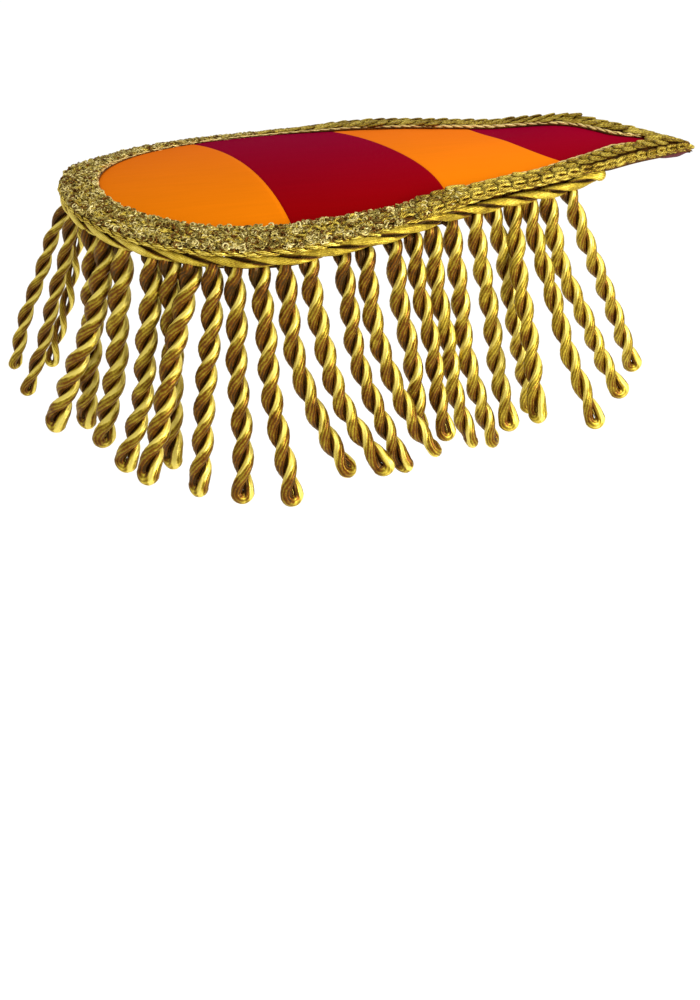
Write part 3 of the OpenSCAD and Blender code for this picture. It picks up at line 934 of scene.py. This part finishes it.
class EPAULETTE_OT_backing(bpy.types.Operator):
    """Makes the stiff backing with its felt and its edge stitches"""

    bl_idname = "epaulette.backing"
    bl_label = "Backing"

    def board(self, felt):
        """The board stops short of the header cord, and reaches the braid's edge elsewhere."""
        near, far = inset_half(HEADER_INSET + HEADER_RADIUS + 0.5), inset_half(1.2)
        nu, nv = 120, 40
        t = 1 - (1 - np.linspace(0, 1, nu)) ** 1.3
        x = (END_X + 6.2) * (1 - t) + (TIP_X - 1.2) * t
        low = near(x) + (far(x) - near(x)) * smooth(x, CORNER_X + 6, CORNER_X + 14)
        high = near(x) + (far(x) - near(x)) * smooth(x, END_X + 12, END_X + 17)
        v = 0.5 - 0.5 * np.cos(np.linspace(0, math.pi, nv))[None, :]
        y = -low[:, None] * (1 - v) + high[:, None] * v
        wide_x = np.broadcast_to(x[:, None], y.shape)
        ends = np.minimum(x - x[0], x[-1] - x)[:, None]
        rim = np.minimum(np.minimum(y + low[:, None], high[:, None] - y), ends)
        free = 1 - fringe_side(x, -low)[:, None] * (y < 0)
        thin = (1 - smooth(rim, 0, 4.5)) * free * (1 - smooth(wide_x, 84, 91))
        thin = thin + 1.2 * smooth(wide_x, 94, 98.8)
        return shell("backing_board", np.stack([wide_x, y], -1), BACKING_HIGH, BACKING_LOW, felt, lift=thin)

    def execute(self, context):
        maroon = context.scene.epaulette.cloth.maroon
        felt = cloth(
            "maroon_felt", maroon, streak=0.5, height=0.00018, Sheen_Weight=0.12, Specular_IOR_Level=0.1
        )
        board = self.board(felt)
        x = np.linspace(END_X + 12, CORNER_X + 14, 260)
        lines = []
        for y in (-inset_half(8.0)(x), inset_half(5.0)(x)):
            points = np.stack([x, y, crown(x, y) + BACKING_LOW - 0.1], -1)
            lines.append({"points": points, "out": np.broadcast_to(-UP, points.shape)})
        stitches = grown(
            "backing_stitches", chains_mesh("stitch_lines", lines), "Stitches", stitch_tree, spacing=0.0042,
            stitch_length=0.003, thread_radius=0.00028, material=gold("backing_thread", Level=0.4),
        )
        dress(join("backing_board", [board, stitches]), "maroon_backing", "backing")
        return {"FINISHED"}


# Braid


def braid_band(ground):
    """The braid's base: one closed band, thinner at the hem away from the fringe."""
    rims, ways = POINTS[::2], OUTWARD[::2]
    hem = 1 - fringe_side(*rims.T)
    wide, low = inner_width(*rims.T), fall(*rims.T)
    flat, slope = sink(*rims.T, 9.5), sink(*rims.T, 0.5)
    foot = np.minimum(4.5, wide - 0.8)
    # Corners of the band's section: how far in from the edge, and the height from the crown
    section = [
        (0.35 - 0.1 * hem, -0.1 - 0.7 * hem - low - slope),
        (0.9, 0.3 - 0.3 * hem - 0.55 * low - slope),
        (2.2, 0.3 - 0.8 * slope - 0.2 * flat),
        (wide - 0.9, 0.25 - flat),
        (wide - 0.4, -0.1 - 0.5 * flat),
        (wide - 0.6, -0.5),
        (foot, -0.5),
        (foot, -1.85),
        (3.6 - 2.35 * hem, -1.85),
        (3.4 - 2.6 * hem, BRAID_LOW - 0.8 * hem - 0.6 * low - slope),
    ]
    rows = []
    for inset, height in section:
        x, y = (rims - ways * np.broadcast_to(inset, len(rims))[:, None]).T
        rows.append(np.stack([x, y, crown(x, y) + height], -1))
    faces = tube_faces(len(rims), len(section), closed=True)
    return from_arrays("braid_band", np.stack(rows, 1).reshape(-1, 3), faces, ground)


def parts_where(chain, keep):
    """The stretches of a closed chain where keep holds, each as an open chain."""
    order = (np.arange(len(keep)) + int(np.argmin(keep))) % len(keep)
    flags = np.concatenate([[False], keep[order], [False]])
    starts, stops = np.flatnonzero(~flags[:-1] & flags[1:]), np.flatnonzero(flags[:-1] & ~flags[1:])
    for a, b in zip(starts, stops):
        if b - a > 4:
            rows = order[a:b]
            yield {key: value[rows] for key, value in chain.items()}


def braid_links(settings, strand):
    """Rows of chain links on the neat part of the braid, and a short row on its nose."""
    lines = []
    for row in LINK_ROWS:
        points, out, up, s, _, crush = lane(row)
        if row < 1:
            up = unit(up + out * 0.7)
        x, y = points[:, 0], points[:, 1]
        room = braid_width(x) if row > 5 else inner_width(x, y)
        neat = (row < room - 1.7) & (crush < 0.85) & (x < TIP_X - 3.4 - row)
        lines += parts_where({"points": points + up * 0.62, "out": up, "run": s, "crush": crush}, neat)
    x, y = np.linspace(88.2, 96.8, 24), np.zeros(24)
    up = crown_up(x, y)
    nose = np.stack([x, y, crown(x, 0) - 1.1 * smooth(x, 92, 97)], -1)
    lines.append({"points": nose + up * 0.85, "out": up, "run": x})
    return grown(
        "braid_links", chains_mesh("link_lines", lines), "Chain links", link_tree, seed=settings.seed,
        spacing=settings.link_spacing, link_length=settings.link_length, link_width=settings.link_width,
        yarn_radius=settings.yarn_radius, material=strand,
    )


def braid_strays(settings, strand):
    """Yarns that have come out of line round the crushed end."""
    strays = []
    for inset in STRAY_ROWS:
        points, out, up, s, total, crush = lane(inset)
        wave = FULL_TURN * round(total / 5.2) * s / total + inset
        middle = points + up * 0.55 + out * (0.5 * np.sin(wave))[:, None]
        loose = (crush > 0.12) & (inset < inner_width(points[:, 0], points[:, 1]) - 2.0)
        strays += parts_where({"points": middle, "out": up, "run": s, "crush": crush}, loose)
    return yarns(
        "braid_strays", strays, *STRAY_YARN, strand, sides=6, crinkle=settings.crush,
        crinkle_scale=700.0, seed=float(settings.seed),
    )


def braid_edge(name, settings, material, inset, turn, low, sizes):
    """A thin two-ply cord along the braid's outer or inner edge."""
    points, out, up, s, total, crush = lane(inset)
    size = sizes(points[:, 0])
    radius = EDGE_PLY_OFFSET * size[:, None]
    size = size * (1 - 0.5 * smooth(points[:, 0], 95, 99))
    turns = max(1, round(total / turn))
    usual = {"run": s, "closed": True, "crush": crush, "tone": 0.7, "size": size}
    chains = []
    for k in range(2):
        way = turned_way(out, up, FULL_TURN * (turns * s / total + k / 2))
        chains.append({"points": points - up * low + way * radius, "out": way, **usual})
    return yarns(
        name, chains, *EDGE_YARN, material, sides=8, crinkle=settings.crush * 0.5,
        crinkle_scale=620.0, seed=float(settings.seed) + 3.0,
    )


def braid_curls(settings, rng, shiny):
    """Loose curls all over the crushed end, with a few spots left bare on its near side, where the band's
    deep brown ground, a painted shade, shows as dark holes.
    """
    points, out, up, _, _, crush = lane(CURL_ROW, 0.25)
    pick = rng.choice(len(points), settings.curls, p=crush / crush.sum())
    reach = inner_width(points[pick, 0], points[pick, 1]) - 1.5
    across = (CURL_ROW - 0.4 - rng.uniform(0, 1, settings.curls) * reach)[:, None]
    lift = (0.75 + rng.uniform(-0.3, 0.3, settings.curls))[:, None]
    spots = points[pick] + out[pick] * across
    spots[:, 2] = crown(*spots.T[:2]) - sink(*spots.T[:2], CURL_ROW - across[:, 0])
    spots = spots + up[pick] * lift
    # Bare spots without curls: the band's deep brown ground, painted shade, shows through as dark holes
    bare_spots = rng.choice(len(spots), BARE_SPOTS, replace=False)
    bare_spots = bare_spots[(across[bare_spots, 0] > -1.0) & (spots[bare_spots, 1] < 10)]
    near = np.linalg.norm(spots[:, None] - spots[bare_spots][None], axis=-1) / rng.uniform(0.8, 1.9, len(bare_spots))
    kept = near.min(axis=1) > 1
    mesh = new_mesh("curl_spots", spots[kept])
    store(mesh, "out", up[pick][kept])
    store(mesh, "tone", rng.uniform(0, 1, int(kept.sum())))
    return grown(
        "braid_curls", mesh, "Loose curls", curl_tree, curl_radius=settings.curl_size, thread_radius=0.00021,
        tilt=0.65, seed=settings.seed, material=shiny,
    )


class EPAULETTE_OT_braid(bpy.types.Operator):
    """Makes the gold braid: a base band, chain links, edge cords, and yarns and curls on the crushed end"""

    bl_idname = "epaulette.braid"
    bl_label = "Gold braid"

    def execute(self, context):
        settings = context.scene.epaulette.braid
        rng = np.random.default_rng(settings.seed)
        # The band's ground is painted deep brown at a low level: painted shade for the gaps between links and
        # curls
        ground = gold("braid_ground", metallic=0.4, Level=0.1, Mottle=0.6, Speck=0.8, **WOVEN)
        wound = dict(Threads=5.0, Slant=1.1)
        # Shade on these threads paints the inward side of each yarn darker: painted shade
        strand = gold("braid_strand", Level=0.57, Ridge=0.5, Mottle=0.9, Speck=0.7, Shade=0.5, **wound)
        straw = dict(Bright=(0.8, 0.68, 0.3, 1), Gold=(0.48, 0.38, 0.1, 1), Olive=(0.2, 0.15, 0.03, 1))
        shiny = gold(
            "braid_curl", Level=0.55, Threads=3.0, Slant=0.9, Ridge=0.2, Mottle=0.8, Speck=0.6, Spread=0.7,
            Shade=0.25, **straw,
        )
        peach = dict(Bright=(0.88, 0.68, 0.27, 1), Gold=(0.6, 0.42, 0.1, 1))
        pale = gold(
            "braid_inner_thread", Level=0.9, Ridge=0.3, Mottle=0.6, Speck=0.5, Spread=0.0, Shade=0.4,
            **wound, **peach,
        )
        pieces = [
            braid_band(ground),
            braid_links(settings, strand),
            braid_strays(settings, strand),
            braid_edge("braid_hem", settings, strand, inset=0.6, turn=8.0, low=0.5, sizes=np.ones_like),
            braid_edge(
                "braid_inner", settings, pale, inset=-1.0, turn=6.2, low=-0.2,
                sizes=lambda x: 0.45 + 0.18 * smooth(x, 5, 40),
            ),
            braid_curls(settings, rng, shiny),
        ]
        dress(join("gold_braid", pieces), "gold_braid", "braid")
        return {"FINISHED"}


# Header cord and fringe


def carried_frame(points):
    """Ways along, aside and across for a line, carried along it without twist."""
    way = unit(np.gradient(points, axis=0))
    aside = np.zeros_like(way)
    u = np.array([1.0, 0.0, 0.0])
    for i, t in enumerate(way):
        u = u - t * (u @ t)
        u = u / np.linalg.norm(u)
        aside[i] = u
    return way, aside, np.cross(way, aside)


def resampled(points, step):
    """The line's points at even steps, and the run along it."""
    run = run_along(points)
    s = np.linspace(0, run[-1], max(4, int(round(run[-1] / step)) + 1))
    return np.stack([np.interp(s, run, points[:, k]) for k in range(3)], -1), s


def hanging_line(row, rng):
    """The middle line of a fringe cord: a neck out of the tape, then down with a slight wave."""
    place, lean, swing, drop, bow = row
    top, out = (v[0] for v in edge(place, ROOT_INSET, ROOT_HEIGHT))
    high, bend = (edge(place, inset, TAPE_HIGH - 0.8)[0] for inset in (TAPE_INSET - 0.5, ROOT_INSET))
    along = np.array([-out[1], out[0], 0.0])
    q = np.linspace(0, 1, 120)[:, None]
    flare = 0.8 if place == FLARED_CORD else 1.15
    hang = top + along * lean * q**bow + out * swing * q**flare - UP * drop * q
    t = np.linspace(0, 1, 8)[:-1, None]
    neck = high[0] * (1 - t) ** 2 + bend[0] * 2 * t * (1 - t) + top * t**2
    line, s = resampled(np.concatenate([neck, hang]), 0.45)
    wave = rng.uniform(0, FULL_TURN, 2)
    waves = np.outer(np.sin(s / 6.3 + wave[0]), along) + np.outer(np.sin(s / 5.1 + wave[1]), out)
    return line + waves * CORD_WAVE * smooth(s, 4, 20)[:, None], s


def fringe_chain(row, cords, rng):
    """One fringe cord: a ply down, round the loop at the bottom, and back up."""
    place = row[0]
    loose = place == LOOSE_CORD
    line, s = hanging_line(row, rng)
    way, aside, across = carried_frame(line)
    turn = cords.turn / MM * rng.uniform(0.94, 1.07)
    if loose:
        turn = LOOSE_TURN
    full = 0.94 + 0.17 * smooth(place, 50, 135) - 0.34 * smooth(place, 155, 168)
    offset, loop = cords.ply_offset / MM * full, LOOP_HALF * full
    end = s[-1] - loop * 1.1 + 0.4
    twist = np.where(s < end - 4, s, end - 4 + 2.6 * np.tanh((s - end + 4) / 2.6))
    angle = math.radians(place * 37) + FULL_TURN * twist / turn
    radial = turned_way(aside, across, angle)
    spread = (offset + (loop - offset) * smooth(s, end - 3.5, end)) * (1.15 if loose else 1)
    keep = s <= end
    s, line, radial, spread = s[keep], line[keep], radial[keep], spread[keep][:, None]
    size = (0.68 if loose else full) * (0.75 + 0.25 * smooth(s, 0, 3))
    psi = np.linspace(0, math.pi, 13)[1:-1, None]
    round_way = radial[-1] * np.cos(psi)
    down = way[keep][-1] * np.sin(psi)
    bottom = line[-1] + round_way * spread[-1] + down * spread[-1] * 1.15
    points = np.concatenate([line + radial * spread, bottom, (line - radial * spread)[::-1]])
    sizes = np.concatenate([size, np.full(len(psi), size[-1] * 1.1), size[::-1]]) * rng.uniform(0.95, 1.05)
    flip = np.concatenate([np.ones(len(size)), np.cos(psi[:, 0]), -np.ones(len(size))])
    deep = np.concatenate([s, np.full(len(psi), end), s[::-1]])
    # Tone: random per cord and higher for the loose cord; raised on cords towards the strap, a painted light
    # as lit from that side; then a painted highlight round each loop's bottom and painted shade on the first
    # millimetres under the tape
    tone = 2.2 if loose else rng.uniform(0, 1) + 1.6 * (1 - smooth(place, 15, 85))
    tone = tone + 8 * (1 - np.abs(flip)) - 2.0 * (1 - smooth(deep, 5, 13))
    ways = np.concatenate([radial, round_way + down, -radial[::-1]])
    looks = {"size": sizes, "tone": tone, "flip": flip}
    return {"points": points, "out": ways, "run": run_along(points), **looks}


def tape_band(name, s0, s1, material):
    """The woven header tape that a group of cords hangs from."""
    s = np.linspace(s0, s1, max(6, int(abs(s1 - s0) / 1.5)))
    low = TAPE_LOW + 0.8 + 1.1 * smooth(s, 44, 56) * (1 - smooth(s, 78, 92))
    high = TAPE_HIGH + 0.25
    rows = [edge(s, TAPE_INSET - d, h)[0] for d, h in ((-0.6, low), (0.6, low), (0.6, high), (-0.6, high))]
    for row in rows[2:]:
        row[:, 2] = crown(row[:, 0], row[:, 1]) + BACKING_LOW - 0.02
    faces = tube_faces(len(s), len(rows), closed=False)
    return from_arrays(name, np.stack(rows, 1).reshape(-1, 3), faces, material, smooth_faces=False)


class EPAULETTE_OT_fringe(bpy.types.Operator):
    """Twists the fringe cords, and hangs each group from its piece of header tape"""

    bl_idname = "epaulette.fringe"
    bl_label = "Fringe"

    def execute(self, context):
        cords = context.scene.epaulette.cords
        rng = np.random.default_rng(cords.seed)
        # Flank paints a highlight and shade round each ply, and Shade a little painted shade where the plies
        # meet
        thread = gold(
            "fringe_thread", Level=0.45, Flank=1.0, Threads=10.0, Ridge=0.22, Mottle=0.55, Speck=0.3,
            Spread=0.07, Shade=0.1,
        )
        # The tape is painted deep brown at a low level: painted shade under the braid and the header cord
        tape = gold("header_tape", metallic=0.3, Level=0.1, Mottle=0.5, Speck=0.4, **WOVEN)
        for k, (node, rows) in enumerate(FRINGE.items()):
            chains = [fringe_chain(row, cords, rng) for row in rows]
            twisted = yarns(node + "_cords", chains, cords.ply_width, cords.ply_height, thread, sides=12)
            band = tape_band(node + "_tape", TAPE_ENDS[k] - 0.3, TAPE_ENDS[k + 1] + 0.3, tape)
            dress(join(node + "_cords", [twisted, band]), "gold_cord", node)
        return {"FINISHED"}


class EPAULETTE_OT_header(bpy.types.Operator):
    """Twists the header cord under the braid's edge"""

    bl_idname = "epaulette.header"
    bl_label = "Header cord"

    def execute(self, context):
        cords = context.scene.epaulette.cords
        places = np.linspace(-2.0, 197, 700)
        line, outward = edge(places, HEADER_INSET, HEADER_HEIGHT)
        rise = np.pad(looked_up(HEADER_RISE, places), 10, mode="edge")
        rise = np.convolve(rise, np.full(21, 1 / 21), mode="valid")
        line[:, 2] += rise
        line += outward * (1.1 * np.clip(rise, 0, 9) * smooth(places, 40, 46))[:, None]
        points, s = resampled(line, 0.5)
        way = unit(np.gradient(points, axis=0))
        up = unit(UP - way * (way @ UP)[:, None])
        last = s[-1]
        size = np.sqrt(np.clip(1 - ((np.maximum(0, 1.6 - np.minimum(s, last - s))) / 1.65) ** 2, 0.01, 1))
        size = size * (1 + 0.5 * np.exp(-(((s - 2.0) / 2.0) ** 2)))
        turned = np.cumsum(0.5 / (cords.header_turn / MM * (0.76 + 0.24 * smooth(s, 30, 90))))
        chains = []
        for k in range(2):
            out = turned_way(np.cross(way, up), up, FULL_TURN * (k / 2 - turned) + 0.6)
            chains.append({
                "points": points + out * HEADER_PLY_OFFSET * size[:, None] ** 0.5, "out": out, "run": s,
                "size": size, "tone": 0.5 + smooth(s, 110, 160),
            })
        # Shade paints the plies darker where they face each other: painted shade in the cord's grooves
        thread = gold("header_thread", Level=0.57, Slant=0.1, Ridge=0.2, Mottle=0.8, Speck=0.4, Shade=0.72)
        cord = yarns("header_cord_twist", chains, *HEADER_YARN, thread, sides=12)
        dress(cord, "gold_cord", "header_cord")
        return {"FINISHED"}


# Pin back and stage


class EPAULETTE_OT_clasp(bpy.types.Operator):
    """Gives the pin back its steel"""

    bl_idname = "epaulette.clasp"
    bl_label = "Pin back"

    def execute(self, context):
        steel = cloth("pin_steel", (0.62, 0.62, 0.64), streak=0.3, height=0.00001, Metallic=1.0)
        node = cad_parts["clasp"]
        node.data.materials.clear()
        node.data.materials.append(steel)
        return {"FINISHED"}


def add_floor(paint_colour):
    low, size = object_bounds()[0].z - 0.3, 4.0
    mesh = bpy.data.meshes.new("floor")
    corners = [(-size, -size, low), (size, -size, low), (size, size, low), (-size, size, low)]
    mesh.from_pydata(corners, [], [(0, 1, 2, 3)])
    paint = bpy.data.materials.new("floor_paint")
    paint.use_nodes = True
    shader = paint.node_tree.nodes["Principled BSDF"]
    for key, value in (("Base Color", rgba(paint_colour)), ("Roughness", 0.9), ("Specular IOR Level", 0.1)):
        shader.inputs[key].default_value = value
    mesh.materials.append(paint)
    new_object("floor", mesh)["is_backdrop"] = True


def add_light(name, kind, place, aim, power, **shape):
    data = bpy.data.lights.new(name, kind)
    data.energy = power
    for key, value in shape.items():
        setattr(data, key, value)
    lamp = new_object(name, data)
    turn = (Vector(aim) - Vector(place)).to_track_quat("-Z", "Y")
    lamp.matrix_world = Matrix.Translation(place) @ turn.to_matrix().to_4x4()


def add_camera():
    yaw, pitch, roll = CAMERA_TURN
    ahead = np.array([math.sin(yaw) * math.cos(pitch), math.cos(yaw) * math.cos(pitch), -math.sin(pitch)])
    right = np.array([math.cos(yaw), -math.sin(yaw), 0.0])
    up = np.cross(right, ahead)
    right, up = math.cos(roll) * right + math.sin(roll) * up, math.cos(roll) * up - math.sin(roll) * right
    data = bpy.data.cameras.new("camera")
    data.sensor_width, data.lens = 36.0, CAMERA_LENS
    data.shift_x, data.shift_y = CAMERA_SHIFT
    data.clip_start, data.clip_end = 0.01, 20.0
    camera = new_object("camera", data)
    pose = Matrix.Identity(4)
    for k, axis in enumerate((right, up, -ahead, CAMERA_PLACE)):
        for row in range(3):
            pose[row][k] = axis[row]
    camera.matrix_world = pose
    return camera


class EPAULETTE_OT_stage(bpy.types.Operator):
    """Sets the floor, the lights, the room's light and the camera"""

    bl_idname = "epaulette.stage"
    bl_label = "Stage"

    def execute(self, context):
        scene, settings = context.scene, context.scene.epaulette.stage
        scene.view_settings.view_transform = "Standard"
        add_floor(settings.floor)
        world = bpy.data.worlds.new("room")
        world.use_nodes = True
        sky = world.node_tree.nodes["Background"].inputs
        sky["Strength"].default_value = settings.surround
        sky["Color"].default_value = (1, 1, 1, 1)
        scene.world = world
        add_light("top_light", "SUN", TOP_LIGHT, (0, 0, 0), settings.top_strength, angle=1.2)
        disk = dict(shape="DISK", size=0.26)
        add_light("side_light", "AREA", SIDE_LIGHT, SIDE_AIM, settings.side_power, **disk)
        scene.camera = add_camera()
        return {"FINISHED"}


STEPS = (
    EPAULETTE_OT_backing,
    EPAULETTE_OT_stripes,
    EPAULETTE_OT_braid,
    EPAULETTE_OT_header,
    EPAULETTE_OT_fringe,
    EPAULETTE_OT_clasp,
    EPAULETTE_OT_stage,
)


class EPAULETTE_PT_panel(bpy.types.Panel):
    """Lists what makes the epaulette"""

    bl_idname = "EPAULETTE_PT_panel"
    bl_label = "Epaulette"
    bl_space_type = "VIEW_3D"
    bl_region_type = "UI"
    bl_category = "Epaulette"

    def draw(self, context):
        settings = context.scene.epaulette
        for step in STEPS:
            self.layout.operator(step.bl_idname)
        for group in (settings.cloth, settings.braid, settings.cords, settings.stage):
            box = self.layout.box()
            for key in group.bl_rna.properties.keys():
                if key not in ("rna_type", "name"):
                    box.prop(group, key)


CLASSES = (
    EPAULETTE_PG_cloth,
    EPAULETTE_PG_braid,
    EPAULETTE_PG_cords,
    EPAULETTE_PG_stage,
    EPAULETTE_PG_all,
    *STEPS,
    EPAULETTE_PT_panel,
)


def register():
    for item in CLASSES:
        bpy.utils.register_class(item)
    bpy.types.Scene.epaulette = PointerProperty(type=EPAULETTE_PG_all)


def unregister():
    del bpy.types.Scene.epaulette
    for item in reversed(CLASSES):
        bpy.utils.unregister_class(item)


def main():
    register()
    for step in STEPS:
        family, name = step.bl_idname.split(".")
        getattr(getattr(bpy.ops, family), name)()


if __name__ == "__main__":
    main()
